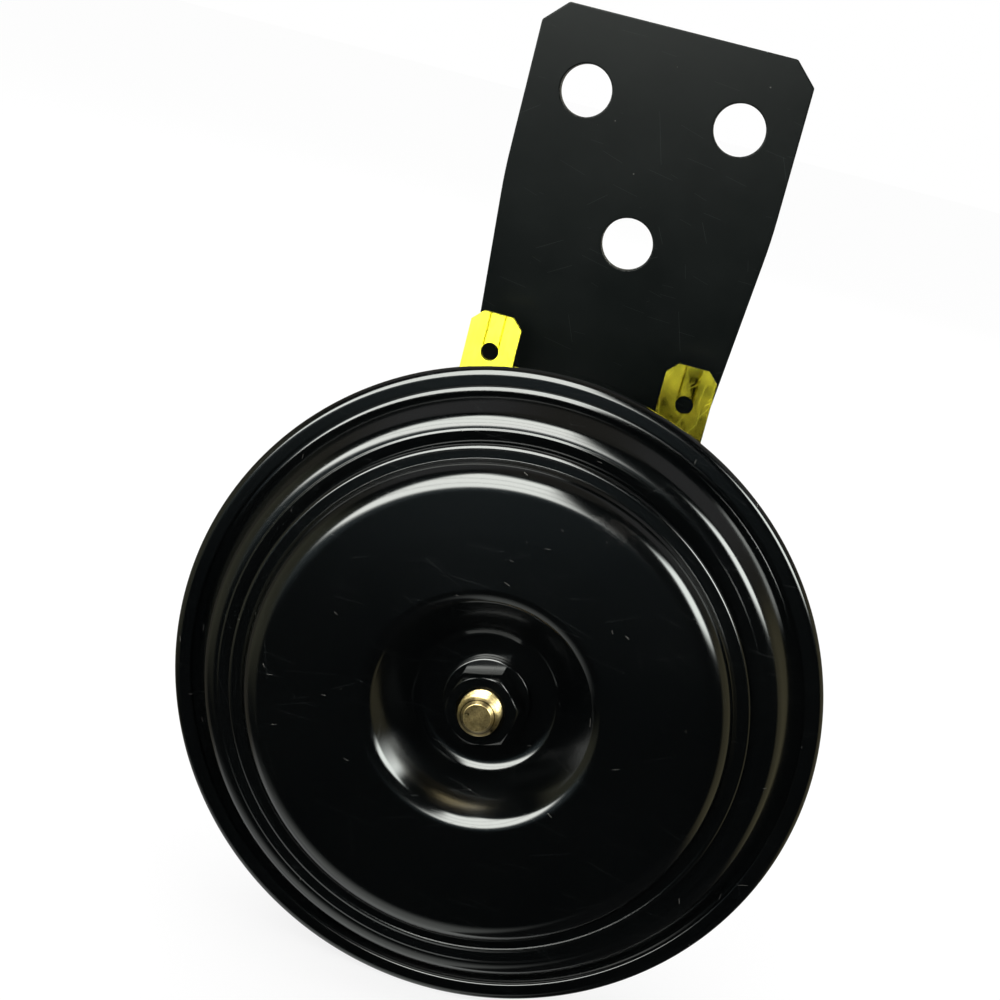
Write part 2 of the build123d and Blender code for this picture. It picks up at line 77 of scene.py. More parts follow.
def bent(corners):
    """Points along a line through (a, b, bend radius) corners, each corner rounded by its arc."""
    points = [Vector(corners[0][:2])]
    for before, corner, after in zip(corners, corners[1:], corners[2:]):
        here = Vector(corner[:2])
        back = (Vector(before[:2]) - here).normalized()
        on = (Vector(after[:2]) - here).normalized()
        turn = pi - back.angle(on)
        radius = corner[2]
        if radius * tan(turn / 2) < 0.01:
            points.append(here)
            continue
        run = radius * tan(turn / 2)
        middle = here + (back + on).normalized() * radius / cos(turn / 2)
        first, last = here + back * run, here + on * run
        start = atan2(first.y - middle.y, first.x - middle.x)
        sweep = (atan2(last.y - middle.y, last.x - middle.x) - start + pi) % (2 * pi) - pi
        count = max(4, ceil(abs(sweep) / radians(6)))
        support = 0.12 * min(1.0, radius)
        if (first - points[-1]).length > 3 * support:
            points.append(first + back * support)
        for k in range(count + 1):
            turned_by = start + sweep * k / count
            points.append(middle + Vector((cos(turned_by), sin(turned_by))) * radius)
        if (Vector(after[:2]) - last).length > 3 * support:
            points.append(last + on * support)
    points.append(Vector(corners[-1][:2]))
    return points


def other_side(corners, wall):
    """The corners of a sheet's other face, to the right of its path, with bends to match."""
    flat = [Vector(c[:2]) for c in corners]
    ways = [(b - a).normalized() for a, b in zip(flat, flat[1:])]
    sides = [Vector((w.y, -w.x)) * wall for w in ways]
    moved = [(flat[0] + sides[0], 0)]
    for k in range(1, len(flat) - 1):
        before, after = ways[k - 1], ways[k]
        cross = before.x * after.y - before.y * after.x
        a, b = flat[k] + sides[k - 1], flat[k] + sides[k]
        along = ((b - a).x * after.y - (b - a).y * after.x) / cross if abs(cross) > 1e-6 else 0
        grown = corners[k][2] + (wall if cross > 0 else -wall)
        moved.append((a + before * along, max(grown, 0.02)))
    moved.append((flat[-1] + sides[-1], 0))
    return [(p.x, p.y, r) for p, r in moved]


def drawn(name, points, closed):
    """A new mesh object, in edit mode, whose one wire is extruded point by point."""
    alone()
    bpy.ops.mesh.primitive_plane_add(size=MM, location=points[0])
    piece = bpy.context.object
    piece.name = piece.data.name = name
    bpy.ops.object.mode_set(mode="EDIT")
    bpy.ops.mesh.merge(type="CENTER")
    for here, there in zip(points, points[1:]):
        bpy.ops.mesh.extrude_region_move(TRANSFORM_OT_translate={"value": there - here})
    if closed:
        bpy.ops.object.mode_set(mode="OBJECT")
        ends = (0, len(points) - 1)
        for vertex in piece.data.vertices:
            vertex.select = vertex.index in ends
        bpy.ops.object.mode_set(mode="EDIT")
        bpy.ops.mesh.edge_face_add()
    bpy.ops.mesh.select_all(action="SELECT")
    return piece


def settled(piece, smooth=35):
    """Back in object mode, faces outwards, origin at the world's, smooth below an angle."""
    if bpy.context.object.mode != "EDIT":
        bpy.ops.object.mode_set(mode="EDIT")
    bpy.ops.mesh.select_all(action="SELECT")
    bpy.ops.mesh.remove_doubles(threshold=1e-7)
    bpy.ops.mesh.normals_make_consistent(inside=False)
    bpy.ops.object.mode_set(mode="OBJECT")
    bpy.ops.object.select_all(action="DESELECT")
    piece.select_set(True)
    bpy.context.view_layer.objects.active = piece
    bpy.ops.object.transform_apply(location=True, rotation=True, scale=True)
    bpy.ops.object.shade_smooth_by_angle(angle=radians(smooth))
    return piece


def softened(piece, width, segments=2, angle=30):
    """Round off a piece's sharp edges."""
    alone()
    piece.select_set(True)
    bpy.context.view_layer.objects.active = piece
    made = piece.modifiers.new("edges", "BEVEL")
    made.width, made.segments, made.angle_limit = width * MM, segments, radians(angle)
    made.harden_normals = True
    bpy.ops.object.modifier_apply(modifier=made.name)
    return piece


def turned(name, corners, steps=180, wall=0, smooth=35):
    """A piece turned or pressed about the horn's axis from (radius, depth, bend) corners in mm.

    With a wall, the corners are one face of a sheet. Without, they close on themselves."""
    path = bent(corners)
    if wall:
        path += bent(other_side(corners, wall))[::-1]
    points = [Vector((p.x, RIM_Y + p.y, AXIS_Z)) * MM for p in path]
    piece = drawn(name, points, closed=True)
    bpy.ops.mesh.delete(type="ONLY_FACE")
    bpy.ops.mesh.select_all(action="SELECT")
    bpy.ops.mesh.spin(steps=steps, angle=2 * pi, center=(0, 0, AXIS_Z * MM), axis=(0, 1, 0))
    return settled(piece, smooth)


class Signal:
    """One output of a shader node. Arithmetic on it adds Math nodes, which give 1 or 0 for < and >."""

    def __init__(self, tree, socket):
        self.tree, self.socket = tree, socket

    def node(self, kind, settings=None, sockets=None, out=0):
        made = self.tree.nodes.new(kind)
        for setting, value in (settings or {}).items():
            if setting == "stops":
                stops = made.color_ramp.elements
                while len(stops) < len(value):
                    stops.new(1.0)
                for stop, (place, shade) in zip(stops, value):
                    stop.position, stop.color = place, (*shade, 1)
            else:
                setattr(made, setting, value)
        for socket, value in (sockets or {}).items():
            if isinstance(value, Signal):
                self.tree.links.new(value.socket, made.inputs[socket])
            else:
                made.inputs[socket].default_value = value
        return Signal(self.tree, made.outputs[out])

    def math(self, operation, first, second=0.0):
        return self.node("ShaderNodeMath", {"operation": operation}, {0: first, 1: second})

    def __add__(self, other):
        return self.math("ADD", self, other)

    def __mul__(self, other):
        return self.math("MULTIPLY", self, other)

    def __sub__(self, other):
        return self.math("SUBTRACT", self, other)

    def __rsub__(self, other):
        return self.math("SUBTRACT", other, self)

    def __gt__(self, other):
        return self.math("GREATER_THAN", self, other)

    def __lt__(self, other):
        return self.math("LESS_THAN", self, other)

    __radd__ = __add__
    __rmul__ = __mul__

    def ramp(self, stops):
        return self.node("ShaderNodeValToRGB", {"stops": stops}, {0: self})

    def mixed(self, first, second):
        """From the first colour where this signal is 0 to the second where it is 1."""
        return self.node("ShaderNodeMix", {"data_type": "RGBA"}, {0: self, 6: first, 7: second}, out=2)


def finish_on(name):
    """A new material: its place signal, and a function that wires its shader."""
    made = bpy.data.materials.new(name)
    made.use_nodes = True
    tree = made.node_tree
    shader = tree.nodes["Principled BSDF"]
    place = Signal(tree, tree.nodes.new("ShaderNodeTexCoord").outputs["Object"])

    def wire(height=None, bump=0.0, reach=MM, **sockets):
        if height is not None:
            sockets["Normal"] = place.node(
                "ShaderNodeBump", {}, {"Strength": bump, "Distance": reach, "Height": height}
            )
        for socket, value in sockets.items():
            socket = socket.replace("_", " ")
            if isinstance(value, Signal):
                tree.links.new(value.socket, shader.inputs[socket])
            else:
                shader.inputs[socket].default_value = value
        return made

    return place, wire


def grain(place, scale, detail=2.0, rough=0.5, stretch=(1, 1, 1), turn=0.0):
    """Noise with so many waves to the metre, turned about Y and stretched along the axes."""
    laid = place.node("ShaderNodeMapping", {}, {"Vector": place, "Scale": stretch, "Rotation": (0, turn, 0)})
    return place.node(
        "ShaderNodeTexNoise", {}, {"Vector": laid, "Scale": scale, "Detail": detail, "Roughness": rough}
    )


def scratches(place, turn, length, spacing, width, share, seed, lean=0.35):
    """Mask of fine straight scratches seen along Y, one to a long cell, most left out."""
    seen_along_y = {"Location": (seed, seed, 0), "Rotation": (-pi / 2, 0, turn)}
    laid = place.node("ShaderNodeMapping", {}, {"Vector": place, **seen_along_y})
    cells = laid.node("ShaderNodeMapping", {}, {"Vector": laid, "Scale": (1 / length, 1 / spacing, 1)})
    voronoi = ("ShaderNodeTexVoronoi", {"voronoi_dimensions": "2D"}, {"Vector": cells, "Scale": 1.0})
    middle = cells.node(*voronoi, out=2)
    lot = cells.node(*voronoi, out=1)
    away = cells.node("ShaderNodeVectorMath", {"operation": "SUBTRACT"}, {0: cells, 1: middle})
    along = away.node("ShaderNodeSeparateXYZ", {}, {0: away}, 0) * length
    across = away.node("ShaderNodeSeparateXYZ", {}, {0: away}, 1) * spacing
    tilt = (lot.node("ShaderNodeSeparateColor", {}, {0: lot}, 0) - 0.5) * lean
    reach = lot.node("ShaderNodeSeparateColor", {}, {0: lot}, 1) * (length * 0.5)
    chosen = lot.node("ShaderNodeSeparateColor", {}, {0: lot}, 2) < share
    apart = across + along * tilt
    near = apart.math("ABSOLUTE", apart) < width / 2
    within = along.math("ABSOLUTE", along) < reach
    return near * within * chosen


def specks(place, spacing, size, share, seed):
    """Mask of small round specks of dust, most of them left out."""
    moved = place.node("ShaderNodeMapping", {}, {"Vector": place, "Location": (seed, seed / 2, seed / 5)})
    cells = {"Vector": moved, "Scale": 1 / spacing, "Randomness": 1.0}
    away = place.node("ShaderNodeTexVoronoi", {}, cells)
    lot = place.node("ShaderNodeTexVoronoi", {}, cells, out=1)
    chosen = lot.node("ShaderNodeSeparateColor", {}, {0: lot})
    return (away < chosen * (size / spacing / share)) * (chosen < share)


def torn_patch(place, spot):
    """Mask of a ragged patch about a spot, longer than it is high, where the gloss is scuffed."""
    reach = 4.6 * MM
    away = place.node("ShaderNodeVectorMath", {"operation": "SUBTRACT"}, {0: place, 1: spot})
    oval = {"Rotation": (0, radians(-20), 0), "Scale": (1, 1, 1.9)}
    away = away.node("ShaderNodeMapping", {}, {"Vector": away, **oval})
    away = away.node("ShaderNodeVectorMath", {"operation": "LENGTH"}, {0: away}, out=1) * (1 / reach)
    torn = grain(place, 1300, 5.0, 0.7, (1, 1, 2), radians(30))
    return (torn - away * 0.34) > 0.36


def black_enamel(name, seed, scuffed_at=None):
    """Gloss stoved enamel with faint flow, smears, dust, fibres and hairline scratches."""
    deep_black, soft_black = (0.0009, 0.0012, 0.0013), (0.0018, 0.0021, 0.0021)
    worn, dust_grey, bare_scuff = (0.07, 0.075, 0.075, 1), (0.30, 0.29, 0.26, 1), (0.0025, 0.0022, 0.0020, 1)
    place, wire = finish_on(name)
    flow = grain(place, 300, 2.0)
    smear = grain(place, 60, 4.0, 0.6, (1, 1, 0.4), radians(35))
    dust = specks(place, 2.6 * MM, 0.08 * MM, 0.07, seed)
    lines = scratches(place, radians(8 + seed), 9 * MM, 1.3 * MM, 0.045 * MM, 0.25, seed, 0.5)
    lines = lines + scratches(place, radians(-14 + seed), 6 * MM, 1.9 * MM, 0.045 * MM, 0.2, seed + 3, 0.9)
    lines = lines + scratches(place, radians(70 + seed), 7 * MM, 3.1 * MM, 0.04 * MM, 0.15, seed + 5, 0.9)
    fibres = scratches(place, radians(40 - seed), 0.8 * MM, 3.4 * MM, 0.045 * MM, 0.035, seed + 7, 3.0)
    fine = scratches(place, radians(4 + seed), 4 * MM, 0.35 * MM, 0.03 * MM, 0.3, seed + 9, 0.4)
    fine = fine + scratches(place, radians(-9 + seed), 3 * MM, 0.4 * MM, 0.03 * MM, 0.25, seed + 11, 0.7)
    tint = grain(place, 30, 3.0).ramp([(0.35, deep_black), (0.7, soft_black)])
    tint = (lines * 0.06 + fine * 0.004).mixed(tint, worn)
    marks = dust.math("MAXIMUM", dust, fibres)
    tint = (marks * 0.4).mixed(tint, dust_grey)
    rough = smear * 0.07 + 0.09 + lines * 0.12 + fine * 0.05 + marks * 0.4
    height = flow + marks * 0.5
    if scuffed_at:
        scuff = torn_patch(place, scuffed_at)
        tint = (scuff * 0.9).mixed(tint, bare_scuff)
        rough = rough + scuff * 0.06
        height = height - scuff * 0.5
    return wire(Base_Color=tint, Roughness=rough, height=height, bump=0.03, reach=0.05 * MM)


case_enamel = black_enamel("case_enamel", 1.0)
case = turned(
    "case_pressing",
    [
        (HEM_INNER_RADIUS, -HEM, 0),
        (RIM_RADIUS, -HEM, 0.95),
        (RIM_RADIUS, HEM, 0.6),
        (DRUM_RADIUS, HEM, 1.2),
        (DRUM_RADIUS - DRUM_DRAFT, DRUM_DEPTH, 2.6),
        (BOSS_RADIUS, DRUM_DEPTH, 1.6),
        (BOSS_RADIUS - BOSS_DRAFT, BOSS_DEPTH, 2.2),
        (TAIL_HOLE, BOSS_DEPTH, 0),
    ],
    wall=-CASE_SHEET,
    steps=240,
)
softened(case, 0.2, 3, 60)
case.data.materials.append(case_enamel)
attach(case, "horn")
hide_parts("case")

# ------------------------------------------------------------------ diaphragm
# Thin spring steel, clamped in the folded rim. A steep cone lifts it to a crest that shows
# round the tone disc, and a long one sinks it to the middle. Sprayed black with the rest.
DIAPHRAGM_SHEET = 0.3
CLAMPED_FRONT = CASE_SHEET - HEM
CREST_FRONT = -4.2
MIDDLE_FRONT = -0.8
STUD_HOLE = 2.6
diaphragm_enamel = black_enamel("diaphragm_enamel", 2.0)
diaphragm = turned(
    "diaphragm_pressing",
    [
        (RIM_RADIUS - 0.8, CLAMPED_FRONT, 0),
        (35.3, CLAMPED_FRONT, 0.9),
        (32.8, CREST_FRONT, 2.2),
        (31.6, CREST_FRONT, 0.12),
        (31.4, CREST_FRONT - 0.1, 0.12),
        (30.2, CREST_FRONT + 0.01, 0.6),
        (28.2, CREST_FRONT + 0.25, 3.0),
        (12.5, MIDDLE_FRONT, 3.0),
        (STUD_HOLE, MIDDLE_FRONT, 0),
    ],
    wall=DIAPHRAGM_SHEET,
    steps=240,
)
diaphragm.data.materials.append(diaphragm_enamel)
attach(diaphragm, "horn")
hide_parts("diaphragm")

# ------------------------------------------------------------------ tone disc
# Sheet steel pressed with a soft shoulder and a dished middle. It is clamped on the stud
# and vibrates with the diaphragm. The same enamel, scuffed on the upper right shoulder.
DISC_SHEET = 0.7
DISC_RADIUS = 30.0
SEAT_FRONT = -2.6
LIP_FRONT = -5.3
LIP_STEP = 0.06
SCUFFED_SPOT = (9.6 * MM, RIM_Y * MM - 7.25 * MM, AXIS_Z * MM + 24.4 * MM)
disc_enamel = black_enamel("disc_enamel", 5.0, SCUFFED_SPOT)
pressed = [
    (STUD_HOLE, SEAT_FRONT, 0),
    (8.2, SEAT_FRONT, 2.0),
    (13.2, -8.12, 2.2),
    (20.5, -8.03, 60.0),
    (27.75, -7.9, 2.9),
    (28.05, LIP_FRONT - 0.56, 0.2),
    (28.45, LIP_FRONT, 0.06),
    (29.35, LIP_FRONT, 0.05),
    (29.42, LIP_FRONT - LIP_STEP, 0.05),
]
edge = (DISC_RADIUS, LIP_FRONT - LIP_STEP)
back_face = other_side([*pressed, (*edge, 0)], -DISC_SHEET)[::-1]
tone_disc = turned("tone_disc_pressing", [*pressed, (*edge, 0.5), *back_face], steps=240)
tone_disc.data.materials.append(disc_enamel)
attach(tone_disc, "armature_set")
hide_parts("tone_disc")

# ------------------------------------------------------------------ front washer
# A plain turned washer under the front nut, painted over with the disc after assembly.
WASHER_RADIUS = 5.1
WASHER_FRONT = SEAT_FRONT - 1.0
washer_enamel = black_enamel("washer_enamel", 8.0)
front_washer = turned(
    "front_washer_turned",
    [
        (STUD_HOLE, SEAT_FRONT, 0),
        (WASHER_RADIUS, SEAT_FRONT, 0.15),
        (WASHER_RADIUS, WASHER_FRONT, 0.25),
        (STUD_HOLE, WASHER_FRONT, 0),
    ],
    steps=96,
)
front_washer.data.materials.append(washer_enamel)
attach(front_washer, "armature_set")
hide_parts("front_washer")

# ------------------------------------------------------------------ front nut
# M5 hexagon nut, 7.8 mm across flats, its corners turned off by the usual cone and its bore
# countersunk. Painted over with the washer, so its edges are soft.


def cut(piece, tool, operation):
    """Cut a piece with a tool, or keep what they share, and throw the tool away."""
    alone()
    piece.select_set(True)
    bpy.context.view_layer.objects.active = piece
    made = piece.modifiers.new(operation, "BOOLEAN")
    made.operation, made.object, made.solver = operation, tool, "EXACT"
    bpy.ops.object.modifier_apply(modifier=made.name)
    bpy.data.objects.remove(tool)


def hexagon_nut(name, seat, height, flats, bore, turn):
    """A nut on the horn's axis, from its seat's depth; a negative height is to the front."""
    step = 1 if height > 0 else -1
    slope = tan(radians(30))
    corner = flats / 3**0.5
    top = seat + height
    drop = (corner - flats / 2) * slope
    alone()
    bpy.ops.mesh.primitive_cylinder_add(
        vertices=6,
        radius=corner * MM,
        depth=abs(height) * MM,
        location=(0, (RIM_Y + seat + height / 2) * MM, AXIS_Z * MM),
        rotation=(pi / 2, radians(turn), 0),
    )
    nut = bpy.context.object
    nut.name = nut.data.name = name
    bpy.ops.object.transform_apply(location=True, rotation=True, scale=True)
    cone = turned(
        "nut_cone",
        [
            (0, seat - step, 0),
            (corner + 1, seat - step, 0),
            (corner + 1, top - step * (drop + slope), 0),
            (flats / 2 - 1, top + step * slope, 0),
            (0, top + step * slope, 0),
        ],
        steps=96,
    )
    cut(nut, cone, "INTERSECT")
    sink = bore * 0.14
    hole = turned(
        "nut_bore",
        [
            (0, seat - step, 0),
            (bore, seat - step, 0),
            (bore, top - step * sink, 0),
            (bore + 2 * sink, top + step * sink, 0),
            (0, top + step * sink, 0),
        ],
        steps=64,
    )
    cut(nut, hole, "DIFFERENCE")
    return nut


nut_enamel = black_enamel("nut_enamel", 11.0)
front_nut = hexagon_nut("front_nut_painted", WASHER_FRONT, height=-3.9, flats=7.8, bore=2.5, turn=15.5)
softened(front_nut, 0.14, 3)
settled(front_nut)
front_nut.data.materials.append(nut_enamel)
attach(front_nut, "armature_set")
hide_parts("front_nut")

# ------------------------------------------------------------------ armature and stud
# Turned steel in one piece: the plunger that the magnet pulls, the plate that works the
# breaker, and the M5 stud in front. Zinc plated with a pale yellow passivation.


def thread_shade(place, radius):
    """Masks of painted shade down in the thread of a rod on the horn's axis, and of its darker flat end."""
    level = {"Location": (0, 0, -AXIS_Z * MM), "Scale": (1, 0, 1)}
    flat = place.node("ShaderNodeMapping", {}, {"Vector": place, **level})
    out = flat.node("ShaderNodeVectorMath", {"operation": "LENGTH"}, {0: flat}, out=1) * (1 / (radius * MM))
    fading = {"From Min": 0.83, "From Max": 0.93, "To Min": 1.0, "To Max": 0.0}
    # Painted shade: darker towards the roots of the thread, with a dark ring painted round its last turn.
    deep = out.node("ShaderNodeMapRange", {"interpolation_type": "SMOOTHSTEP"}, {"Value": out, **fading})
    last_turn = out - 0.79
    root_shade = deep * (out > 0.66) * 0.6 + (last_turn.math("ABSOLUTE", last_turn) < 0.022)
    facing = place.node("ShaderNodeNewGeometry", out=1)
    ahead = facing.node("ShaderNodeSeparateXYZ", {}, {0: facing}, out=1) < -0.95
    return root_shade * 0.85, ahead * (grain(place, 2600, 3.0, 0.7) * 1.3)


def zinc(name, shade, dull=0.25, thread_radius=None):
    """Zinc plate: bright metal with cloudy roughness, tiny pits, and painted shade down in a thread."""
    place, wire = finish_on(name)
    cloud = grain(place, 900, 4.0, 0.6)
    pits = grain(place, 5200, 2.0) > 0.62
    tint = cloud.ramp([(0.3, tuple(c * 0.6 for c in shade)), (0.62, shade)])
    tint = (pits * 0.55).mixed(tint, (0.06, 0.045, 0.02, 1))
    if thread_radius:
        root_shade, darker_end = thread_shade(place, thread_radius)
        # Painted shade down in the thread, and a darker flat end.
        tint = root_shade.mixed(tint, (0.03, 0.02, 0.008, 1))
        tint = darker_end.mixed(tint, (0.12, 0.085, 0.03, 1))
    rough = cloud * 0.3 + dull
    return wire(Base_Color=tint, Metallic=1.0, Roughness=rough, height=cloud, bump=0.12, reach=0.04 * MM)


def threaded(name, radius, pitch, foot, tip, chamfer):
    """A thread cut on a chamfered rod about the horn's axis, from foot to tip depths."""
    way = 1 if tip > foot else -1
    cut_depth = 0.54 * pitch
    turns = ceil(abs(tip - foot) / pitch) + 3
    start = foot - way * 2 * pitch
    flanks = [
        (radius - cut_depth, 0.0),
        (radius - cut_depth, 0.12),
        (radius, 0.5),
        (radius, 0.62),
        (radius - cut_depth, 1.0),
    ]
    points = [Vector((r, RIM_Y + start + way * u * pitch, AXIS_Z)) * MM for r, u in flanks]
    rod = drawn(name, points, closed=False)
    bpy.ops.object.mode_set(mode="OBJECT")
    bpy.context.scene.cursor.location = (0, 0, AXIS_Z * MM)
    bpy.ops.object.origin_set(type="ORIGIN_CURSOR")
    screw = rod.modifiers.new("thread", "SCREW")
    screw.axis, screw.angle, screw.screw_offset = "Y", 2 * pi, way * pitch * MM
    screw.iterations, screw.steps, screw.render_steps = turns, 64, 64
    screw.use_merge_vertices, screw.merge_threshold = True, 1e-7
    bpy.ops.object.modifier_apply(modifier=screw.name)
    bpy.ops.object.mode_set(mode="EDIT")
    bpy.ops.mesh.select_all(action="SELECT")
    bpy.ops.mesh.remove_doubles(threshold=1e-7)
    bpy.ops.mesh.select_all(action="DESELECT")
    bpy.ops.mesh.select_non_manifold()
    bpy.ops.mesh.edge_face_add()
    settled(rod)
    chamfered = [(radius, tip - way * chamfer, 0.1), (radius - chamfer, tip, 0.08)]
    blank = turned("rod_blank", [(0, foot, 0), (radius, foot, 0), *chamfered, (0, tip, 0)], steps=96)
    cut(rod, blank, "INTERSECT")
    return settled(rod, 40)


yellow_zinc = zinc("yellow_zinc", (0.80, 0.70, 0.50))
STUD_RADIUS = 2.45
stud_zinc = zinc("stud_zinc", (0.54, 0.42, 0.20), 0.16, STUD_RADIUS)
stud = threaded("stud_thread", STUD_RADIUS, pitch=0.8, foot=-2.0, tip=-9.9, chamfer=0.9)
stud.data.materials.append(stud_zinc)
SHOULDER = MIDDLE_FRONT + DIAPHRAGM_SHEET
SHOULDER_RADIUS = 7.0
PLATE_FRONT, PLATE_BACK, PLATE_RADIUS = 1.5, 2.7, 14.0
PLUNGER_RADIUS, PLUNGER_END = 5.8, 17.8
armature = turned(
    "armature_turned",
    [
        (0, -2.2, 0),
        (2.4, -2.2, 0),
        (2.4, SHOULDER, 0),
        (SHOULDER_RADIUS, SHOULDER, 0.1),
        (SHOULDER_RADIUS, PLATE_FRONT, 0.1),
        (PLATE_RADIUS, PLATE_FRONT, 0.2),
        (PLATE_RADIUS, PLATE_BACK, 0.2),
        (PLUNGER_RADIUS, PLATE_BACK, 0.2),
        (PLUNGER_RADIUS, PLUNGER_END, 0.3),
        (0, PLUNGER_END, 0),
    ],
    steps=64,
)
armature.data.materials.append(yellow_zinc)
for piece in (stud, armature):
    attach(piece, "armature_set")
    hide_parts("armature")

# ------------------------------------------------------------------ bracket
# A flat strip blanked from 2 mm steel, with three bolt holes at the top and a round end
# on the horn's rear stud. Satin greenish black, scuffed, bare along its sheared edges.


def plate(name, outline, front, thickness, holes, edge=0.0):
    """A flat piece from (across, up, bend) corners, its front at a depth, (across, up, radius) holes."""
    path = bent([*outline, outline[0]])[:-1]
    points = [Vector((p.x, RIM_Y + front, AXIS_Z + p.y)) * MM for p in path]
    piece = drawn(name, points, closed=True)
    bpy.ops.mesh.edge_face_add()
    bpy.ops.mesh.extrude_region_move(TRANSFORM_OT_translate={"value": (0, thickness * MM, 0)})
    settled(piece)
    for across, up, radius in holes:
        alone()
        bpy.ops.mesh.primitive_cylinder_add(
            vertices=72,
            radius=radius * MM,
            depth=4 * thickness * MM,
            location=(across * MM, (RIM_Y + front) * MM, (AXIS_Z + up) * MM),
            rotation=(pi / 2, 0, 0),
        )
        cut(piece, bpy.context.object, "DIFFERENCE")
    if edge:
        softened(piece, edge, 2)
    return settled(piece)


def bracket_paint():
    """Thin satin black over steel, with long light scratches, rubs and grey cut edges."""
    place, wire = finish_on("bracket_paint")
    facing = place.node("ShaderNodeNewGeometry", out=1)
    sideways = facing.node("ShaderNodeSeparateXYZ", {}, {0: facing}, out=1)
    edge = sideways.math("ABSOLUTE", sideways) < 0.6
    cloud = grain(place, 70, 5.0, 0.65)
    mottle = grain(place, 1500, 2.0, 0.6)
    lines = scratches(place, radians(68), 8 * MM, 2.6 * MM, 0.05 * MM, 0.14, 2.0)
    lines = lines + scratches(place, radians(-38), 5 * MM, 3.1 * MM, 0.05 * MM, 0.12, 4.0)
    lines = lines + scratches(place, radians(8), 4 * MM, 1.6 * MM, 0.04 * MM, 0.3, 6.0)
    dust = specks(place, 1.9 * MM, 0.10 * MM, 0.12, 9.0)
    tint = cloud.ramp([(0.3, (0.0018, 0.0026, 0.0024)), (0.7, (0.0042, 0.0054, 0.0050))])
    tint = (lines * 0.25).mixed(tint, (0.06, 0.07, 0.065, 1))
    tint = (dust * 0.5).mixed(tint, (0.20, 0.20, 0.18, 1))
    tint = (edge * 0.55).mixed(tint, (0.16, 0.17, 0.16, 1))
    rough = cloud * 0.10 + 0.16 + mottle * 0.04
    return wire(
        Base_Color=tint,
        Roughness=rough,
        Metallic=edge * 0.5,
        Specular_IOR_Level=0.06,
        height=mottle + cloud,
        bump=0.06,
        reach=0.05 * MM,
    )


BRACKET_HALF = 17.0
BRACKET_TOP = 78.1
BRACKET_CORNER = 2.8
BRACKET_FRONT = 26.75
BRACKET_SHEET = 2.0
EYE = 12.7
TAPER = radians(4.316)
TAPER_STARTS = 56.5
HOLES_UP = -AXIS_Z
HOLE_CIRCLE = 11.15
BOLT_HOLE = 3.2
bracket = plate(
    "bracket_strip",
    [
        (-BRACKET_HALF, BRACKET_TOP - BRACKET_CORNER, 0),
        (BRACKET_CORNER - BRACKET_HALF, BRACKET_TOP, 0),
        (BRACKET_HALF - BRACKET_CORNER, BRACKET_TOP, 0),
        (BRACKET_HALF, BRACKET_TOP - BRACKET_CORNER, 0),
        (BRACKET_HALF, TAPER_STARTS, 70.0),
        (0, -EYE / sin(TAPER), EYE),
        (-BRACKET_HALF, TAPER_STARTS, 70.0),
    ],
    BRACKET_FRONT,
    BRACKET_SHEET,
    [
        (HOLE_CIRCLE * cos(radians(at)), HOLES_UP + HOLE_CIRCLE * sin(radians(at)), BOLT_HOLE)
        for at in (30, 150, 270)
    ]
    + [(0, 0, TAIL_HOLE)],
    edge=0.18,
)
bracket.data.materials.append(bracket_paint())
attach(bracket, "horn")
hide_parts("bracket")

# ------------------------------------------------------------------ terminals
# Two push-on blades blanked from half-hard brass, with bevelled edges, a detent hole and
# two lines scored from the tip. Each is held by one brass rivet on the insulator.


def brass(name, shade, dull, seed):
    """Rolled brass: fine lengthwise grain, cloudy tarnish and scratches down to bright metal."""
    place, wire = finish_on(name)
    rolled = grain(place, 900, 2.0, 0.5, (6, 1, 0.25))
    cloud = grain(place, 420, 4.0, 0.6)
    lines = scratches(place, radians(82), 3.5 * MM, 0.7 * MM, 0.05 * MM, 0.5, seed, 0.8)
    lines = lines + scratches(place, radians(-50), 2.5 * MM, 0.8 * MM, 0.05 * MM, 0.5, seed + 2, 0.8)
    dark = tuple(c * 0.62 for c in shade)
    tint = (cloud + rolled * 0.5).ramp([(0.45, dark), (0.85, shade)])
    tint = (lines * 0.6).mixed(tint, tuple(c * 0.3 for c in shade) + (1,))
    rough = cloud * 0.2 + dull + lines * 0.2
    height = rolled + cloud - lines
    return wire(Base_Color=tint, Metallic=1.0, Roughness=rough, height=height, bump=0.2, reach=0.03 * MM)


BLADE_ACROSS = 12.25
BLADE_HALF = 3.15
BLADE_CORNER = 1.3
BLADE_SHEET = 0.8
BLADE_FRONT = 18.5
BLADE_TIP = 40.2
RIVET_UP = 21.73
DETENT = 1.1
SCORE_ACROSS = 0.95
SCORE_LENGTH = 4.4
SCORE_SIZE = 0.13


def terminal(name, side, metal):
    across = side * BLADE_ACROSS
    left, right = across - BLADE_HALF, across + BLADE_HALF
    blade = plate(
        name,
        [
            (left, BLADE_TIP - BLADE_CORNER, 0),
            (left + BLADE_CORNER, BLADE_TIP, 0),
            (right - BLADE_CORNER, BLADE_TIP, 0),
            (right, BLADE_TIP - BLADE_CORNER, 0),
            (right, RIVET_UP - BLADE_HALF, BLADE_HALF - 0.01),
            (left, RIVET_UP - BLADE_HALF, BLADE_HALF - 0.01),
        ],
        BLADE_FRONT,
        BLADE_SHEET,
        [(across, BLADE_TIP - 4.7, DETENT)],
    )
    for scored in (across - SCORE_ACROSS, across + SCORE_ACROSS):
        alone()
        bpy.ops.mesh.primitive_cylinder_add(
            vertices=4,
            radius=SCORE_SIZE * MM,
            depth=SCORE_LENGTH * MM,
            location=(scored * MM, (RIM_Y + BLADE_FRONT) * MM, (AXIS_Z + BLADE_TIP - 1.9) * MM),
        )
        cut(blade, bpy.context.object, "DIFFERENCE")
    softened(blade, 0.17, 1, 60)
    settled(blade, 20)
    blade.data.materials.append(metal)
    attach(blade, "horn")
    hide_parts(name.replace("_blade", ""))
